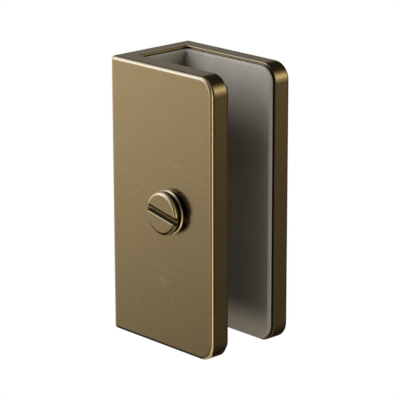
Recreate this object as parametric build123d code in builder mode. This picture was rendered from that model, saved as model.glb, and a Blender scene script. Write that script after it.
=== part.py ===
from build123d import *
from math import radians, tan
import os

# A brass U bracket that holds the edge of a shower glass against a wall.
# X runs out from the wall, Z is up, and the clamp screw's head faces -Y.
# The origin is the middle of the face that lies on the wall.

# Bracket
height = 70.5
reach = 36.0
width = 26.0
wall = 5.0
corner_radius = 4.4
outer_edge_radius = 1.0
inner_edge_chamfer = 0.1

# Wall screws
wall_screw_spacing = 40.0
wall_screw_hole_radius = 2.4
wall_screw_sink_radius = 4.6
wall_screw_sink_angle = 90

# Liner
liner_thickness = 1.25
liner_inset = 0.65
liner_edge_chamfer = 0.35
liner_seat_chamfer = 0.25
liner_seat_corner_radius = 1.1
liner_slot_corner_radius = 0.5
liner_access_radius = 5.0

# Clamp screw, a metric 6 coarse thread with a slotted disc head
thread_radius = 3.0
thread_pitch = 1.0
thread_root_radius = 2.387
thread_root_flat = 0.125
thread_flank_angle = 30
thread_lead_in = 1.15
thread_clearance = 0.05
relief_radius = 2.3
head_radius = 5.4
head_thickness = 1.25
head_rim_radius = 0.9
head_back_chamfer = 0.15
head_gap = 0.8
screw_slot_width = 1.6
screw_slot_depth = 0.95
screw_slot_chamfer = 0.25
screw_slot_angle = -11.4

# Washer
washer_radius = 5.5
washer_hole_radius = 3.3
washer_thickness = 0.9
washer_front_chamfer = 0.3
washer_back_chamfer = 0.15

# Pressure pad, which the screw's tip clips into
pad_radius = 5.0
pad_thickness = 2.4
pad_proud = 0.65
pad_chamfer = 0.3
pad_lip = 0.5
pad_lip_radius = 1.65
pad_socket_radius = 2.15
pad_socket_depth = 1.55
pad_room = 0.3
pad_travel_out = 1.5
shank_clearance = 0.05
tip_neck_radius = 1.5
tip_bead_radius = 2.0
tip_bead_chamfer = 0.3
tip_clearance = 0.1

# Margins for picking edges by place
touching = 0.01
well_inside = 1.0

# What follows from them
slot_width = width - 2 * wall
clamp_x = (wall + liner_thickness + reach) / 2
front_face = Plane(origin=(clamp_x, -width / 2, 0), x_dir=(1, 0, 0), z_dir=(0, -1, 0))
front_plate_back = Plane(origin=(clamp_x, -slot_width / 2, 0), x_dir=(1, 0, 0), z_dir=(0, 1, 0))
clamp_axis = Axis((clamp_x, -width / 2, 0), (0, -1, 0))
# Half section of the turned pieces: X is the radius, Y the height above the front plate
turning_plane = Plane(origin=(clamp_x, -width / 2, 0), x_dir=(1, 0, 0), z_dir=(0, 0, -1))
pad_face = -(wall + liner_thickness + pad_proud)
pad_back = pad_face + pad_thickness
pocket_depth = wall + pad_back + pad_travel_out + tip_clearance
head_back = washer_thickness + head_gap
head_face = head_back + head_thickness

os.makedirs("parts", exist_ok=True)


# Bracket body: the U in plan, drawn up to its height, then its free corners and outer edges
# rounded and the rim of its slot broken
with BuildPart() as bracket_body:
    with BuildSketch(Plane.XY.offset(-height / 2)):
        with Locations((reach / 2, 0)):
            Rectangle(reach, width)
        with Locations((wall + reach / 2, 0)):
            Rectangle(reach, slot_width, mode=Mode.SUBTRACT)
    extrude(amount=height)

    free_corners = bracket_body.edges().filter_by(Axis.Y).group_by(Axis.X)[-1]
    fillet(free_corners, corner_radius)

    outer_faces = (
        bracket_body.faces().filter_by(Axis.Y).group_by(Axis.Y)[0]
        + bracket_body.faces().filter_by(Axis.Y).group_by(Axis.Y)[-1]
        + bracket_body.faces().filter_by(Axis.X).group_by(Axis.X)[0]
    )
    fillet(outer_faces.edges(), outer_edge_radius)

    def on_slot_rim(edge):
        """The rim of the slot: beside the inner faces, without the upright edges in its depth."""
        middle = edge @ 0.5
        inside = abs(middle.Y) < slot_width / 2 + touching and middle.X > wall - touching
        upright_in_depth = abs(middle.Z) < well_inside and middle.X < reach - well_inside
        return inside and not upright_in_depth

    chamfer(bracket_body.edges().filter_by(on_slot_rim), inner_edge_chamfer)

    with Locations(Plane(origin=(wall, 0, 0), x_dir=(0, 1, 0), z_dir=(1, 0, 0))):
        with GridLocations(0, wall_screw_spacing, 1, 2):
            CounterSinkHole(wall_screw_hole_radius, wall_screw_sink_radius, wall, wall_screw_sink_angle)

    # The tapped hole, and behind it the round pocket that the pad backs into
    with Locations(front_plate_back):
        CounterBoreHole(thread_radius + thread_clearance, pad_radius + pad_room, pocket_depth, wall)
bracket_body.part.label = "bracket_body"
export_step(bracket_body.part, "parts/bracket_body.step")


# Liner: one moulded U, set back a little from the brass all round its rim
liner_height = height - 2 * liner_inset
liner_end = reach - liner_inset
liner_web_face = wall + liner_thickness
with BuildPart() as liner:
    with BuildSketch(Plane.XY.offset(-liner_height / 2)):
        with Locations(((wall + liner_end) / 2, 0)):
            Rectangle(liner_end - wall, slot_width)
        with Locations((liner_web_face + liner_end / 2, 0)):
            Rectangle(liner_end, slot_width - 2 * liner_thickness, mode=Mode.SUBTRACT)
    extrude(amount=liner_height)

    liner_free_corners = liner.edges().filter_by(Axis.Y).group_by(Axis.X)[-1]
    fillet(liner_free_corners, corner_radius - liner_inset)
    seat_corners = liner.edges().filter_by(Axis.Z).group_by(Axis.X)[0]
    fillet(seat_corners, liner_seat_corner_radius)
    slot_corners = liner.edges().filter_by(Axis.Z).filter_by_position(
        Axis.X, liner_web_face - touching, liner_web_face + touching
    )
    fillet(slot_corners, liner_slot_corner_radius)

    def on_liner_slot_rim(edge):
        """The liner's rim on the side that faces the glass."""
        middle = edge @ 0.5
        between_leaves = abs(middle.Y) < slot_width / 2 - liner_thickness + touching
        in_slot = between_leaves and middle.X > liner_web_face - touching
        upright_in_depth = abs(middle.Z) < well_inside and middle.X < liner_end - well_inside
        return in_slot and not upright_in_depth

    chamfer(liner.edges().filter_by(on_liner_slot_rim), liner_edge_chamfer)

    def on_liner_seat_rim(edge):
        """The liner's rim on the side that lies against the brass."""
        middle = edge @ 0.5
        behind_leaves = abs(middle.Y) > slot_width / 2 - liner_seat_corner_radius / 2
        behind_web = middle.X < wall + liner_seat_corner_radius / 2
        on_rim = abs(middle.Z) > well_inside or middle.X > liner_end - well_inside
        return (behind_leaves or behind_web) and on_rim

    chamfer(liner.edges().filter_by(on_liner_seat_rim), liner_seat_chamfer)

    with Locations(front_plate_back):
        with Locations((0, 0, liner_thickness)):
            Hole(pad_radius + pad_room, liner_thickness)
    with Locations(Plane(origin=(liner_web_face, 0, 0), x_dir=(0, 1, 0), z_dir=(1, 0, 0))):
        with GridLocations(0, wall_screw_spacing, 1, 2):
            Hole(liner_access_radius, liner_thickness)
liner.part.label = "liner"
export_step(liner.part, "parts/liner.step")


# Washer: a thick ring under the head, bevelled in front and its back rim broken
with BuildPart() as washer:
    with BuildSketch(front_face):
        Circle(washer_radius)
        Circle(washer_hole_radius, mode=Mode.SUBTRACT)
    extrude(amount=washer_thickness)
    washer_rims = washer.edges().filter_by(GeomType.CIRCLE).group_by(SortBy.RADIUS)[-1].sort_by(Axis.Y)
    chamfer(washer_rims[0], washer_front_chamfer)
    chamfer(washer_rims[-1], washer_back_chamfer)
washer.part.label = "washer"
export_step(washer.part, "parts/washer.step")


# Clamp screw: turned in one piece with a bead at its tip and a relief groove under the head,
# then its thread cut and its driving slot milled across the head
shank_end = pad_back + shank_clearance
tip_end = pad_back - pad_socket_depth + tip_clearance
bead_back = pad_back - pad_lip - tip_clearance
thread_runout = thread_radius - relief_radius
with BuildPart() as clamp_screw:
    with BuildSketch(turning_plane):
        with BuildLine():
            Polyline(
                (0, head_face),
                (0, tip_end),
                (tip_bead_radius - tip_bead_chamfer, tip_end),
                (tip_bead_radius, tip_end + tip_bead_chamfer),
                (tip_bead_radius, bead_back - tip_bead_chamfer),
                (tip_neck_radius, bead_back),
                (tip_neck_radius, shank_end),
                (relief_radius, shank_end),
                (thread_radius, shank_end + thread_runout),
                (thread_radius, 0),
                (relief_radius, thread_runout),
                (relief_radius, head_back),
                (head_radius - head_back_chamfer, head_back),
                (head_radius, head_back + head_back_chamfer),
                (head_radius, head_face),
                close=True,
            )
        make_face()
    revolve(axis=clamp_axis)
    head_rims = clamp_screw.edges().filter_by(GeomType.CIRCLE).group_by(SortBy.RADIUS)[-1]
    fillet(head_rims.sort_by(Axis.Y)[0], head_rim_radius)

    # The thread's groove starts beyond the shank's end and runs out in the relief
    groove_start = front_face.offset(shank_end - thread_lead_in).origin
    groove_length = thread_lead_in - shank_end + thread_runout
    groove_depth = thread_radius - thread_root_radius + thread_clearance
    groove_half_mouth = thread_root_flat / 2 + groove_depth * tan(radians(thread_flank_angle))
    with BuildLine() as groove_path:
        Helix(thread_pitch, groove_length, thread_root_radius, center=groove_start, direction=(0, -1, 0))
    groove_root = groove_path.line @ 0
    outwards = groove_root - groove_start
    with BuildSketch(Plane(origin=groove_root, x_dir=outwards, z_dir=groove_path.line % 0)):
        with BuildLine():
            Polyline(
                (0, -thread_root_flat / 2),
                (0, thread_root_flat / 2),
                (groove_depth, groove_half_mouth),
                (groove_depth, -groove_half_mouth),
                close=True,
            )
        make_face()
    sweep(path=groove_path.line, is_frenet=True, mode=Mode.SUBTRACT)

    with BuildSketch(front_face.offset(head_face)):
        Rectangle(4 * head_radius, screw_slot_width, rotation=screw_slot_angle)
    extrude(amount=-screw_slot_depth, mode=Mode.SUBTRACT)
    slot_lips = clamp_screw.edges().filter_by(GeomType.LINE).group_by(Axis.Y)[0]
    chamfer(slot_lips, screw_slot_chamfer)
clamp_screw.part.label = "clamp_screw"
export_step(clamp_screw.part, "parts/clamp_screw.step")


# Pressure pad: a moulded disc with a socket in its back that clips over the screw's bead
with BuildPart() as pressure_pad:
    with BuildSketch(turning_plane):
        with BuildLine():
            Polyline(
                (0, pad_face),
                (pad_radius, pad_face),
                (pad_radius, pad_back),
                (pad_lip_radius, pad_back),
                (pad_lip_radius, pad_back - pad_lip),
                (pad_socket_radius, pad_back - pad_lip),
                (pad_socket_radius, pad_back - pad_socket_depth),
                (0, pad_back - pad_socket_depth),
                close=True,
            )
        make_face()
    revolve(axis=clamp_axis)
    pad_rims = pressure_pad.edges().filter_by(GeomType.CIRCLE).sort_by(SortBy.RADIUS)[-2:]
    chamfer(pad_rims, pad_chamfer)
pressure_pad.part.label = "pressure_pad"
export_step(pressure_pad.part, "parts/pressure_pad.step")
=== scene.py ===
# %% [markdown]
# The bracket's solids come first. They were drawn and packed as a fixed frame, in metres, with X
# out from the wall, Z up, and the screw's head on the -Y side. Everything here is added round
# them, so they are loaded before any light or finish is made.

# %% Load the solids
import math
import bpy
import numpy as np
from mathutils import Matrix, Vector

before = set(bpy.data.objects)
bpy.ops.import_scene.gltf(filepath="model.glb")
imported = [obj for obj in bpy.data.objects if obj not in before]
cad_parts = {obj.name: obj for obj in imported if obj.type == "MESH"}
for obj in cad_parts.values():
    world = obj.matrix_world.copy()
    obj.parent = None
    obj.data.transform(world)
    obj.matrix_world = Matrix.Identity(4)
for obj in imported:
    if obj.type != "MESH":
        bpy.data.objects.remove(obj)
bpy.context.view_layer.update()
scene = bpy.context.scene
scene.view_settings.view_transform = "Standard"

# %% [markdown]
# The camera stands where the picture's lines put it: the bracket's upright edges lean together very
# little, so it was taken with a long lens from about half a metre. The direction is given as a turn
# round the upright axis, a height angle and a slight roll, and the camera's matrix is built from
# these three.

# %% Camera
turn, lift, roll = (math.radians(angle) for angle in (46.865, 16.487, -0.149))
back = Vector((math.sin(turn) * math.cos(lift), -math.cos(turn) * math.cos(lift), math.sin(lift)))
level = Vector((math.cos(turn), math.sin(turn), 0))
upward = back.cross(level)
right = level * math.cos(roll) + upward * math.sin(roll)
top = upward * math.cos(roll) - level * math.sin(roll)

camera_data = bpy.data.cameras.new("camera")
camera_data.lens = 191.456
camera_data.sensor_width = 36
camera_data.clip_start = 0.01
camera = bpy.data.objects.new("camera", camera_data)
camera.matrix_world = Matrix((right, top, back)).transposed().to_4x4()
camera.location = Vector((0.38484, -0.34367, 0.14840))
scene.collection.objects.link(camera)
scene.camera = camera
print("camera", [round(value, 4) for value in camera.location], "lens", camera_data.lens)

# %% [markdown]
# A finish is a recipe of numbers, colours and patterns. To write the numbers as ordinary sums, one
# small class wraps a node's output, and each sum or product of wraps adds the Math node that does
# it. So 1 - mask can be written as it is on paper, and a long formula stays readable.

# %% Sums on wires
class Wire:
    """A node's output that can be added, multiplied and compared like a number."""

    def __init__(self, tree, socket):
        self.tree = tree
        self.socket = socket

    def math(self, operation, first, second=0.0):
        sockets = {0: first, 1: second}
        return add_node(self.tree, "ShaderNodeMath", {"operation": operation}, sockets)

    def __add__(self, other): return self.math("ADD", self, other)
    def __radd__(self, other): return self.math("ADD", other, self)
    def __sub__(self, other): return self.math("SUBTRACT", self, other)
    def __rsub__(self, other): return self.math("SUBTRACT", other, self)
    def __mul__(self, other): return self.math("MULTIPLY", self, other)
    def __rmul__(self, other): return self.math("MULTIPLY", other, self)
    def __truediv__(self, other): return self.math("DIVIDE", self, other)
    def __rtruediv__(self, other): return self.math("DIVIDE", other, self)
    def __pow__(self, other): return self.math("POWER", self, other)
    def __rpow__(self, other): return self.math("POWER", other, self)
    def __abs__(self): return self.math("ABSOLUTE", self)
    def __gt__(self, other): return self.math("GREATER_THAN", self, other)
    def __lt__(self, other): return self.math("LESS_THAN", self, other)

    def most(self, other): return self.math("MAXIMUM", self, other)

    def rise(self, low, high):
        """0 below low and 1 above high, with a smooth slope between; high may be under low."""
        settings = {"interpolation_type": "SMOOTHSTEP", "clamp": True}
        sockets = {0: self, 1: low, 2: high, 3: 0.0, 4: 1.0}
        return add_node(self.tree, "ShaderNodeMapRange", settings, sockets)

    def output(self, name):
        """Another output of the same node."""
        return Wire(self.tree, self.socket.node.outputs[name])


print("sums on wires: + - * / ** abs > < most rise")

# %% [markdown]
# Every node comes from one function, which takes the node's type, then its settings, such as a Math
# node's operation, and then a value or a wire for each of its sockets. The settings come first,
# because some of them change which sockets a node has.

# %% One function for all nodes
def connect(socket, value):
    """Links a wire to a socket, or writes a plain value on it."""
    if isinstance(value, Wire):
        value.tree.links.new(value.socket, socket)
    else:
        socket.default_value = value


def add_node(tree, kind, settings=None, sockets=None, output=0):
    """Adds one node with its settings and then its sockets, and gives one of its outputs."""
    node = tree.nodes.new(kind)
    for name, value in (settings or {}).items():
        setattr(node, name, value)
    for name, value in (sockets or {}).items():
        connect(node.inputs[name], value)
    return Wire(tree, node.outputs[output]) if node.outputs else None


print("every node comes from add_node, and every socket from connect")

# %% [markdown]
# Colours and places need their own nodes, because a Math node turns a colour grey. These short
# helpers mix two colours, and scale a place, take it apart or put it together.

# %% Colours and places
def blend(tree, share, first, second):
    """One colour where share is 0, the other where it is 1. A Mix node's colours are its sockets
    6 and 7, and its output 2."""
    settings = {"data_type": "RGBA", "clamp_factor": True}
    sockets = {0: share, 6: first, 7: second}
    return add_node(tree, "ShaderNodeMix", settings, sockets, output=2)


def vector_math(tree, operation, sockets, output=0):
    """One sum on places, directions or colours."""
    return add_node(tree, "ShaderNodeVectorMath", {"operation": operation}, sockets, output)


def place_in_mm(tree):
    """The place on the object in millimetres, the same as in the drawing."""
    here = add_node(tree, "ShaderNodeTexCoord", output="Object")
    return vector_math(tree, "SCALE", {0: here, "Scale": 1000.0})


def parts_of(place):
    """A place's three numbers as wires."""
    split = add_node(place.tree, "ShaderNodeSeparateXYZ", sockets={0: place})
    return [split.output(axis) for axis in "XYZ"]


def joined(tree, x, y, z=0.0):
    """Three numbers as a place."""
    return add_node(tree, "ShaderNodeCombineXYZ", sockets={0: x, 1: y, 2: z})


def away_from(u, v, centre_u, centre_v):
    """Distance from a centre in a plane: the root of the two distances squared and added."""
    return ((u - centre_u) ** 2.0 + (v - centre_v) ** 2.0) ** 0.5


print("colours: blend, places: vector_math, place_in_mm, parts_of, joined and away_from")

# %% [markdown]
# Two patterns make most finishes. Clouds are soft noise, for tones that drift over a surface. Cells
# know the nearest of many scattered points, for specks that each stand alone. A finish is an empty
# material whose main shader is then fed with numbers, colours and patterns by name.

# %% Patterns and finishes
def clouds(place, scale, detail=3.0, rough=0.55, stretch=None):
    """Soft noise from 0 to 1, with scale blotches per millimetre."""
    if stretch:
        place = vector_math(place.tree, "MULTIPLY", {0: place, 1: stretch})
    sockets = {"Vector": place, "Scale": scale, "Detail": detail, "Roughness": rough}
    return add_node(place.tree, "ShaderNodeTexNoise", {"noise_dimensions": "3D"}, sockets)


def cells(place, scale, flat=False):
    """Distance to the nearest of scattered points, and three random numbers for that point."""
    settings = {"voronoi_dimensions": "2D" if flat else "3D", "feature": "F1"}
    sockets = {"Vector": place, "Scale": scale}
    distance = add_node(place.tree, "ShaderNodeTexVoronoi", settings, sockets)
    return distance, parts_of(distance.output("Color"))


def new_finish(name):
    """An empty material with its main shader, and the tree to draw in."""
    material = bpy.data.materials.new(name)
    material.use_nodes = True
    shader = material.node_tree.nodes["Principled BSDF"]
    return material, material.node_tree, shader


def feed(shader, **values):
    """Sets or links the main shader's sockets, with underscores for the spaces in their names."""
    for name, value in values.items():
        connect(shader.inputs[name.replace("_", " ")], value)


print("patterns: clouds and cells, finishes: new_finish and feed")

# %% [markdown]
# Wear and dirt follow the edges of the brass, so their places are written from the drawing's own
# distances in millimetres. The bracket's two plates lie from 8 to 13 mm to either side of the
# middle, its web is 5 mm thick, and the screw stands out to 15.95 mm.

# %% Distances from the drawing
front_face, top_face, free_end = -13.0, 35.25, 36.0
web_inside, slot_half = 5.0, 8.0
head_front = -15.95
screw_axis = (21.125, 0.0)
screw_slot_tilt = math.radians(11.4)
print("plates", slot_half, "to", -front_face, "mm, screw's axis at", screw_axis)

# %% [markdown]
# The brass is satin, not polished: it was brushed fine, toned to a soft antique gold and lacquered,
# and since then it has been handled. These are its colours, as linear red, green and blue: two
# close ones for the toned brass, others for specks, scratches, the painted shade, the painted
# highlight on the slot's upper edges and the slot's brown tone.

# %% Colours of the brass
brass_warm = (0.456, 0.327, 0.160, 1)
brass_green = (0.440, 0.328, 0.162, 1)
brass_dark = (0.240, 0.170, 0.085, 1)
brass_bright = (0.720, 0.570, 0.340, 1)
# painted shade: the near-black for the slot, the head, the washer and the joints
brass_shade_paint = (0.030, 0.023, 0.014, 1)
# painted highlight on the slot's upper edges
brass_highlight_paint = (0.660, 0.490, 0.210, 1)
brass_brown = (0.300, 0.180, 0.045, 1)
edge_tint = (0.96, 0.91, 0.82, 1)
print("toned brass from", brass_warm[:3], "to", brass_green[:3])

# %% [markdown]
# Seen close the brass has pin-prick specks all over, more dark ones than light, and a few clusters
# of short scratches that all slant one way, as a cleaning cloth leaves them. Specks are cells of
# scattered points, and scratches are cells drawn out along the slant. Along the slot's upper edges
# a brighter brass is painted on as a highlight line.

# %% Specks, scratches and the painted edge highlight
scratch_slant = math.radians(-35)
scratched_places = [
    # x, z and radius in mm, and how many of the scratches show
    (22.5, 13.5, 4.5, 0.5),
    (19.7, 20.5, 3.5, 0.6),
    (20.3, -16.3, 6.5, 1.0),
    (6.5, -11.0, 2.5, 1.0),
    (31.5, 8.0, 3.0, 0.5),
]


def pinpricks(place, scale, size):
    """Small round specks at some of the scattered points: light ones and dark ones apart."""
    distance, chance = cells(place, scale)
    spot = distance.rise(size, size * 0.5)
    return spot * (chance[0] > 0.93), spot * (chance[0] < 0.30)


def slanting_scratches(tree, x, z):
    """Thin short lines: cells drawn out along a slant, and kept only near their middle."""
    c, s = math.cos(scratch_slant), math.sin(scratch_slant)
    along = x * c + z * s
    across = z * c - x * s
    distance, chance = cells(joined(tree, along * 0.20, across * 2.4), 1.0, flat=True)
    return distance.rise(0.18, 0.11) * (chance[1] > 0.55)


def plate_marks(tree, x, y, z):
    """Scratches on the front plate: all of them near the scratched places, very few elsewhere."""
    spots = None
    for centre_x, centre_z, radius, share in scratched_places:
        spot = away_from(x, z, centre_x, centre_z).rise(radius, radius * 0.4) * share
        spots = spot if spots is None else spots.most(spot)
    return slanting_scratches(tree, x, z) * (spots * 0.95 + 0.05) * (y < front_face + 0.5)


def painted_edge_highlight(x, y, z):
    """Painted highlight: brighter brass along the slot's upper edges, beside the plates and above
    the web, just under the top.
    """
    beside_plates = (abs(abs(y) - slot_half) < 0.12) * x.rise(web_inside + 0.2, web_inside + 1.0)
    beside_web = (abs(x - web_inside) < 0.12) * (abs(y) < slot_half - 0.4)
    return beside_plates.most(beside_web) * z.rise(top_face - 0.45, top_face - 0.30) * 0.85


print(len(scratched_places), "places with scratches")

# %% [markdown]
# Shade is painted into the brass where it falls: in the screw's slot, under and round the head's
# rim, on the washer's side, beside the washer as the head's shadow and mirror image, and along the
# joint with the liner. Each patch is placed by the drawing's own distances, such as the radius from
# the screw's axis or the depth in the slot, so that it follows the edges exactly. Deep in the slot
# the brass has also kept a browner tone, because nothing rubs it there.

# %% Painted shade on the brass
head_side = 5.25  # the radius past which a turned piece shows its side and not its face


def in_slot(x, y, z):
    """Where the screw's slot is, more with depth, and how far a place is across the slot in mm."""
    across = (x - screw_axis[0]) * math.sin(screw_slot_tilt) + z * math.cos(screw_slot_tilt)
    within = (abs(across) < 1.08) * (y < head_front + 1.05)
    return y.rise(head_front + 0.02, head_front + 0.17) * within, across


def slot_painted_shade(x, y, z):
    """Painted shade in the screw's slot: most under its upper lip and on its lower wall."""
    inside, across = in_slot(x, y, z)
    upper = across.rise(-0.22, 0.05)
    lower = across.rise(-0.55, -0.70)
    return inside * (upper + lower).most(0.20)


def head_painted_shade(x, y, radius):
    """Painted shade under the head's rim all round, and on the washer's side towards +X, which also
    darkens its mirror image in the plate.
    """
    lee = (x - screw_axis[0]).rise(1.2, 3.6)
    washer_side = (radius > head_side) * (y > front_face - 0.62)
    under_head = (radius > head_side) * (y > head_front + 0.73) * (y < head_front + 1.75)
    return (lee * washer_side).most(under_head) * 0.93


def rim_painted_shade(y, z, radius):
    """Thin painted shade on the lower half of the head's rounded rim."""
    return radius.rise(4.5, 4.8) * (y < head_front + 0.63) * z.rise(-1.2, -2.6) * 0.70


def washer_painted_shadow(x, y, z):
    """Painted shadow and mirror image of the head on the plate beside the washer: a disc set off
    sideways, lighter in a band just below its middle and towards its bottom.
    """
    away = away_from(x, z, screw_axis[0] + 1.5, screw_axis[1] + 0.2)
    shadow_gap = z.rise(-0.1, -0.6) * z.rise(-1.9, -1.2)
    shadow_strength = 1.0 - shadow_gap * 0.50 - z.rise(-1.5, -5.5) * 0.45
    return away.rise(6.2, 4.7) * shadow_strength * (y < front_face + 0.1) * 0.95


def joint_painted_shade(x, y, z):
    """Painted shade along the joint of brass and liner, on the plates' free ends and under the edge
    above the web.
    """
    free_ends = abs(y).rise(slot_half + 0.25, slot_half + 0.08)
    free_ends = free_ends * x.rise(free_end - 4.5, free_end - 1.5)
    above_web = (abs(x - web_inside) < 0.06) * (abs(y) < slot_half + 0.05)
    above_web = above_web * z.rise(top_face - 0.33, top_face - 0.47) * (z > top_face - 1.25)
    return free_ends.most(above_web) * 0.9


print("the screw's slot stands", round(math.degrees(screw_slot_tilt), 1), "degrees off level")

# %% [markdown]
# The finish puts these together: faint reddish and greenish clouds, a fine grain, upright brush
# lines, then specks, scratches, the painted highlight and the painted shade. One function makes it
# for all brass pieces, so that they match. On the turned pieces the lines run round the screw's
# axis, the slot keeps a brown tone in place of the painted highlight, and the painted shade lies
# elsewhere.

# %% Satin brass
def satin_brass(name, turned=False):
    """The brass finish, for the plates or for pieces that were turned round the screw's axis."""
    material, tree, shader = new_finish(name)
    place = place_in_mm(tree)
    x, y, z = parts_of(place)
    hue = clouds(place, 0.60, detail=4.0, rough=0.6)
    patches = clouds(place, 0.90, detail=3.0, rough=0.6)
    grain = clouds(place, 3.2, detail=2.0, rough=0.6)
    light_specks, dark_specks = pinpricks(place, 1.10, 0.20)
    dark_dust = pinpricks(place, 2.4, 0.32)[1]
    dark_specks = dark_specks.most(dark_dust * 0.50) * (0.5 + z.rise(-25.0, 20.0) * 0.5)

    if turned:
        radius = away_from(x, z, *screw_axis)
        lines = clouds(joined(tree, radius, 0.0), 3.5, detail=2.0)
        marks = 0.0  # the scratches are on the plate only
        toned, tone = in_slot(x, y, z)[0] * 0.75, brass_brown
        # Painted shade in the slot, under and round the head, and on its rim.
        painted_shade = slot_painted_shade(x, y, z).most(head_painted_shade(x, y, radius)).most(rim_painted_shade(y, z, radius))
    else:
        lines = clouds(place, 1.0, detail=3.0, stretch=(2.6, 2.6, 0.30))
        marks = plate_marks(tree, x, y, z)
        # On the plate the brighter band is a painted highlight on the slot's upper edges.
        toned, tone = painted_edge_highlight(x, y, z), brass_highlight_paint
        # Painted shade along the joints, and the head's painted shadow and mirror image beside the
        # washer.
        painted_shade = joint_painted_shade(x, y, z).most(washer_painted_shadow(x, y, z))

    colour = blend(tree, hue.rise(0.32, 0.68), brass_warm, brass_green)
    mottle = 0.06 + (patches - 0.5) * 0.30 + (grain - 0.5) * 0.12 + (lines - 0.5) * 0.16
    colour = blend(tree, mottle, colour, brass_dark)
    colour = blend(tree, light_specks * 0.72 + marks, colour, brass_bright)
    colour = blend(tree, dark_specks * 0.75, colour, brass_dark)
    colour = blend(tree, toned, colour, tone)
    # The painted shade goes over everything else.
    colour = blend(tree, painted_shade, colour, brass_shade_paint)
    rough = 0.20 + (patches - 0.5) * 0.06 + (grain - 0.5) * 0.04
    rough = rough + dark_specks * 0.10 - marks * 0.05 + painted_shade * 0.10

    height = grain * 0.25 + lines * 0.40 + light_specks * 0.6 - dark_specks * 0.8 - marks
    bump = {"Strength": 0.06, "Distance": 0.00004, "Height": height}
    feed(shader, Base_Color=colour, Metallic=1.0, Roughness=rough, Specular_Tint=edge_tint,
         Normal=add_node(tree, "ShaderNodeBump", sockets=bump))
    return material


plate_finish = satin_brass("satin brass")
turned_finish = satin_brass("turned brass", turned=True)
print("brass finishes", plate_finish.name, "and", turned_finish.name)

# %% [markdown]
# The liner is a grey flexible plastic, moulded in one U so that the glass never touches the brass.
# It is satin and even, with the very fine grain of the mould and a little dust in it, so it gets a
# soft grey whose lightness and roughness vary slowly and a grain of a fifth of a millimetre.
# Painted shade darkens it towards the corners deep in the slot, and on the free end of its front
# leaf. The pad is of the same kind of plastic in a pale colour, and lies too far out for any of
# that painted shade.

# %% Grey liner and pale pad
dust_colour = (0.55, 0.53, 0.48, 1)
# Painted shade: a dark grey for the corners deep in the slot, and a near-black for the front leaf's
# end.
deep_shade_paint, end_shade_paint = (0.045, 0.040, 0.032, 1), (0.020, 0.018, 0.014, 1)
liner_web = web_inside + 1.3  # just past the inner face of the liner's web


def liner_painted_shade(x, y, z):
    """Painted shade deep in the slot: on the liner's leaves, and on its web low down and in the
    corners.
    """
    low_down, corners = z.rise(34.2, 31.0) * 0.12, abs(y).rise(5.8, 6.6) * 0.20
    on_web = (x < liner_web) * (0.15 + low_down + corners)
    on_leaf = (x > liner_web) * x.rise(16.0, 6.0) * 0.36
    return on_web + on_leaf


def moulded(name, light, dark, roughness, grain_depth):
    """A satin plastic between two close colours, with dust, tiny pits, the mould's grain and
    painted shade.
    """
    material, tree, shader = new_finish(name)
    place = place_in_mm(tree)
    x, y, z = parts_of(place)
    tone = clouds(place, 0.22, detail=4.0, rough=0.6)
    grain = clouds(place, 5.0, detail=2.0, rough=0.6)
    dust, pits = pinpricks(place, 0.8, 0.10)
    colour = blend(tree, tone.rise(0.30, 0.70) * 0.6 + (grain - 0.5) * 0.3, light, dark)
    colour = blend(tree, dust * 0.25, colour, dust_colour)
    colour = blend(tree, liner_painted_shade(x, y, z), colour, deep_shade_paint)
    # Painted shade on the free end of the front leaf, where it meets the brass.
    front_end_shade = x.rise(free_end - 1.3, free_end - 1.0) * (y < -6.4) * 0.95
    colour = blend(tree, front_end_shade, colour, end_shade_paint)
    rough = roughness + (tone - 0.5) * 0.10 + (grain - 0.5) * 0.08
    bump = {"Strength": grain_depth, "Distance": 0.00005, "Height": grain - pits}
    feed(shader, Base_Color=colour, Roughness=rough, IOR=1.47,
         Normal=add_node(tree, "ShaderNodeBump", sockets=bump))
    return material


liner_grey = (0.300, 0.280, 0.240, 1), (0.250, 0.232, 0.198, 1)
pad_pale = (0.72, 0.71, 0.66, 1), (0.64, 0.62, 0.57, 1)
liner_finish = moulded("grey liner", *liner_grey, roughness=0.42, grain_depth=0.12)
pad_finish = moulded("pad plastic", *pad_pale, roughness=0.50, grain_depth=0.20)
print("plastic finishes", liner_finish.name, "and", pad_finish.name)

# %% [markdown]
# Each solid keeps its shape and takes its finish through its material slot. The screw and washer
# share one finish, because both are turned brass.

# %% Put the finishes on the solids
finishes = {
    "bracket_body": plate_finish,
    "washer": turned_finish,
    "clamp_screw": turned_finish,
    "liner": liner_finish,
    "pressure_pad": pad_finish,
}
for node, finish in finishes.items():
    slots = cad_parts[node].material_slots
    for slot in slots:
        slot.material = finish
    print(node, "takes", finish.name, "in", len(slots), "slot")

# %% [markdown]
# The background is white. The camera, and also metal where it mirrors the room, see a white world,
# and the light that falls on the bracket from all round is set apart from it at a plain level.

# %% World
def empty_tree(owner):
    """The node tree of a world or a material, with nothing in it."""
    owner.use_nodes = True
    owner.node_tree.nodes.clear()
    return owner.node_tree


def ray_kinds(tree):
    """1 for rays from the camera, and 1 for every ray that is to see the background."""
    camera_ray = add_node(tree, "ShaderNodeLightPath", output="Is Camera Ray")
    glossy_ray = camera_ray.output("Is Glossy Ray")
    through_ray = camera_ray.output("Is Transmission Ray")
    return camera_ray, camera_ray.most(glossy_ray).most(through_ray)


world = bpy.data.worlds.new("white room")
scene.world = world
room = empty_tree(world)
seen = ray_kinds(room)[1]
plain = {"Color": (1.0, 0.96, 0.85, 1), "Strength": 0.03}
white = {"Color": (1, 1, 1, 1), "Strength": 1.0}
plain_light = add_node(room, "ShaderNodeBackground", sockets=plain)
white_light = add_node(room, "ShaderNodeBackground", sockets=white)
both = add_node(room, "ShaderNodeMixShader", sockets={0: seen, 1: plain_light, 2: white_light})
add_node(room, "ShaderNodeOutputWorld", sockets={"Surface": both})
print("world", world.name, "gives", plain["Strength"], "of light all round")

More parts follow.
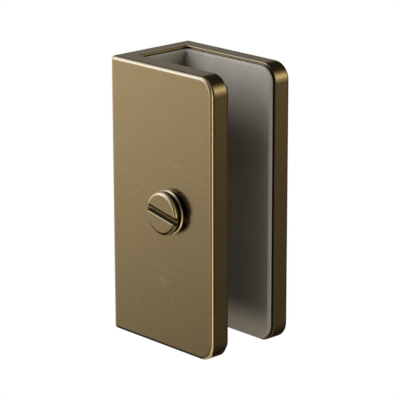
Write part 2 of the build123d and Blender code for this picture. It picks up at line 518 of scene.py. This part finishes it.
# %% [markdown]
# Metal is lit by what it mirrors. A photographer hangs a tent of cloth and cards round a brass
# piece: bright where a soft highlight is wanted, dark where an edge should stand out, and open
# behind the piece so that the white ground shows. Here the tent is a ball whose light depends on
# the direction. Only mirrored rays meet it, so it neither hides the bracket nor throws a shade.

# %% The tent's ball
def direction(azimuth, height):
    """The direction at a turn round the upright axis from -Y towards +X, and a height angle."""
    a, e = math.radians(azimuth), math.radians(height)
    return (math.sin(a) * math.cos(e), -math.cos(a) * math.cos(e), math.sin(e))


def add_piece(name, points, faces):
    """An object made of points in metres and of faces that list their points."""
    mesh = bpy.data.meshes.new(name)
    mesh.from_pydata(points.tolist(), [], faces)
    mesh.update()
    piece = bpy.data.objects.new(name, mesh)
    scene.collection.objects.link(piece)
    return piece


def ball(name, radius, around=96, up=48):
    """A ball on a grid of turn u and height v: x = r sin u cos v, y = -r cos u cos v and
    z = r sin v, with one point at each pole."""
    u = np.linspace(-np.pi, np.pi, around, endpoint=False)
    v = np.linspace(-np.pi / 2, np.pi / 2, up + 1)[1:-1]
    uu, vv = np.meshgrid(u, v)
    grid = np.stack([np.sin(uu) * np.cos(vv), -np.cos(uu) * np.cos(vv), np.sin(vv)], axis=-1)
    poles = [[0, 0, -1], [0, 0, 1]]
    points = np.concatenate([grid.reshape(-1, 3), poles]) * radius

    rows, columns = np.meshgrid(np.arange(up - 2), np.arange(around), indexing="ij")
    a, b = rows * around + columns, rows * around + (columns + 1) % around
    quads = np.stack([a, b, b + around, a + around], axis=-1).reshape(-1, 4)
    ring = np.arange(around)
    next_on_ring = (ring + 1) % around
    last_row = (up - 2) * around
    south, north = np.full(around, uu.size), np.full(around, uu.size + 1)
    low_cap = np.stack([south, next_on_ring, ring], axis=-1)
    high_cap = np.stack([north, last_row + ring, last_row + next_on_ring], axis=-1)
    return add_piece(name, points, quads.tolist() + low_cap.tolist() + high_cap.tolist())


tent = ball("tent", 0.9)
for kind in ("camera", "diffuse", "transmission", "volume_scatter", "shadow"):
    setattr(tent, "visible_" + kind, False)
print("tent with", len(tent.data.polygons), "faces")

# %% [markdown]
# The tent's light is a sum of glows. Each has a colour, a turn and a height angle, a width and a
# height in degrees and a strength, and falls off as a bell curve. The list says which edge or face
# each glow is for. Where the tent is open, behind and below the bracket, its cloth gives way to
# clear air.

# %% The tent's light
bell_base = 2.718  # a bell curve is this number to the power of minus a square
cool, even, warm = (0.80, 0.98, 1.62), (1.0, 1.0, 1.0), (1.05, 0.98, 0.85)
lemon, gold, amber = (0.99, 1.03, 0.95), (1.04, 1.0, 0.84), (1.08, 0.95, 0.85)
dim_cloth = (0.015, 0.014, 0.012)
glows = [
    (even, -72, -6, 36, 17, 1.32),     # the front plate
    (cool, -50, 21, 28, 14, 3.6),      # its rounded top edge, low on the curve
    (cool, -45, 50, 28, 15, 2.3),      # the same edge higher up, and the slot's lower lip
    (even, -20, -4, 6, 15, 2.5),       # the pale line beside the free edge
    (warm, 8, -16, 12, 30, 0.33),      # the dim band between the two lines
    (lemon, 60, -14, 13, 42, 2.05),    # the gold line down the free edge
    (gold, 136, 14, 14, 15, 1.30),     # the band on the free corners
    (amber, 133, -18, 30, 26, 0.070),  # the narrow sides
    (even, -133, 14, 26, 14, 0.16),    # the top faces, and the wall face seen from the left
    (even, -10, 80, 26, 26, 0.30),     # the top faces, seen from above
    (gold, 38, -48, 14, 20, 1.30),     # the gold line round the lower corner
    (warm, -28, -40, 13, 12, 0.28),    # the inner side of that corner
]


def glow(towards, azimuth, height, width, tall, strength):
    """Light round one direction, from strength down to 0 as the bell curve of
    (sideways over sin width) squared + (up or down over sin tall) squared."""
    ahead = Vector(direction(azimuth, height))
    side = Vector(direction(azimuth + 90, 0))

    def share(axis):
        sockets = {0: towards, 1: tuple(axis)}
        return vector_math(towards.tree, "DOT_PRODUCT", sockets, output="Value")

    across = share(side) / math.sin(math.radians(width))
    updown = share(side.cross(ahead)) / math.sin(math.radians(tall))
    spread = across * across + updown * updown
    return (bell_base ** (spread * -1.0)) * (share(ahead) > 0.0) * strength


def sum_of_glows(towards):
    """All the glows in their colours, over the dim light of the cloth itself."""
    total = dim_cloth
    for colour, *shape in glows:
        sockets = {0: colour, "Scale": glow(towards, *shape)}
        part = vector_math(towards.tree, "SCALE", sockets)
        total = vector_math(towards.tree, "ADD", {0: total, 1: part})
    return total


tent_material = bpy.data.materials.new("tent cloth")
tent_tree = empty_tree(tent_material)
here = add_node(tent_tree, "ShaderNodeTexCoord", output="Object")
towards = vector_math(tent_tree, "NORMALIZE", {0: here})
lit = {"Color": sum_of_glows(towards), "Strength": 1.0}
shine = add_node(tent_tree, "ShaderNodeEmission", sockets=lit)
clear = add_node(tent_tree, "ShaderNodeBsdfTransparent")
opening = glow(towards, -133, -22, 20, 14, 1.0).rise(0.35, 0.6)
cloth = add_node(tent_tree, "ShaderNodeMixShader", sockets={0: opening, 1: shine, 2: clear})
add_node(tent_tree, "ShaderNodeOutputMaterial", sockets={"Surface": cloth})
tent_material.cycles.emission_sampling = "NONE"
tent.data.materials.append(tent_material)
print("tent lit by", len(glows), "glows")

# %% [markdown]
# The bracket hangs at its height on a wall, with the floor well below it. The floor is a plain pale
# disc that looks white like the background and still takes the bracket's soft shadow in its middle.
# Farther out it turns into the background's own white, so that its rim never shows as a line. The
# brass mirrors only the middle, because a wide white floor would put a band on every lower edge.

# %% Floor
floor_height = -0.30
middle_radius, white_radius = 150.0, 420.0  # in mm


def disc(name, radius, height, around=96):
    """A flat disc: x = r cos u, y = r sin u at one height, as one face."""
    u = np.linspace(0, 2 * np.pi, around, endpoint=False)
    points = np.stack([radius * np.cos(u), radius * np.sin(u), np.full(around, height)], axis=-1)
    return add_piece(name, points, [list(range(around))])


floor = disc("floor", 0.80, floor_height)
floor_material = bpy.data.materials.new("pale floor")
paint = empty_tree(floor_material)
matt = add_node(paint, "ShaderNodeBsdfDiffuse", sockets={"Color": (0.85, 0.85, 0.85, 1)})
bright = add_node(paint, "ShaderNodeEmission", sockets=white)
open_air = add_node(paint, "ShaderNodeBsdfTransparent")
by_camera, by_any = ray_kinds(paint)
floor_x, floor_y, _ = parts_of(place_in_mm(paint))
from_middle = away_from(floor_x, floor_y, 0.0, 0.0)
share = by_any * (0.85 + from_middle.rise(middle_radius, white_radius) * 0.15)
painted = add_node(paint, "ShaderNodeMixShader", sockets={0: share, 1: matt, 2: bright})
beyond = (from_middle > middle_radius) * (1.0 - by_camera)
surface = add_node(paint, "ShaderNodeMixShader", sockets={0: beyond, 1: painted, 2: open_air})
add_node(paint, "ShaderNodeOutputMaterial", sockets={"Surface": surface})
floor_material.cycles.emission_sampling = "NONE"
floor.data.materials.append(floor_material)
print("floor at", floor_height, "m")

# %% [markdown]
# The lamps light the liner, the pad and the floor. The key lamp is large and soft, in front and a
# little left, so its light falls over the front plate into the top of the slot and fades down the
# rear leaf. A fill lamp beyond the free end lights the liner's end face, and two weak ones, from
# the side and from below, lift the shade in the slot. The brass takes its highlights from the tent,
# so the lamps themselves aren't mirrored in it.

# %% Lamps
bracket_middle = Vector((0.018, 0, 0))


def lamp(name, azimuth, height, distance, size, power, colour):
    """A square soft lamp on a direction from the bracket, turned to face it."""
    data = bpy.data.lights.new(name, "AREA")
    data.shape = "SQUARE"
    data.size = size
    data.energy = power
    data.color = colour
    piece = bpy.data.objects.new(name, data)
    piece.location = Vector(direction(azimuth, height)) * distance + bracket_middle
    aim = bracket_middle - piece.location
    piece.rotation_euler = aim.to_track_quat("-Z", "Y").to_euler()
    piece.visible_glossy = False
    scene.collection.objects.link(piece)


lamp("key", -16, 30.5, 0.8, 0.70, 10.4, (0.98, 0.98, 1.00))
lamp("end fill", 118, 12, 0.9, 0.5, 6.5, (1.0, 0.96, 0.87))
lamp("side fill", 22, 0, 0.9, 0.4, 0.75, (1.0, 0.96, 0.86))
lamp("low fill", -10, -24, 0.9, 0.3, 3.3, (1.0, 0.94, 0.80))
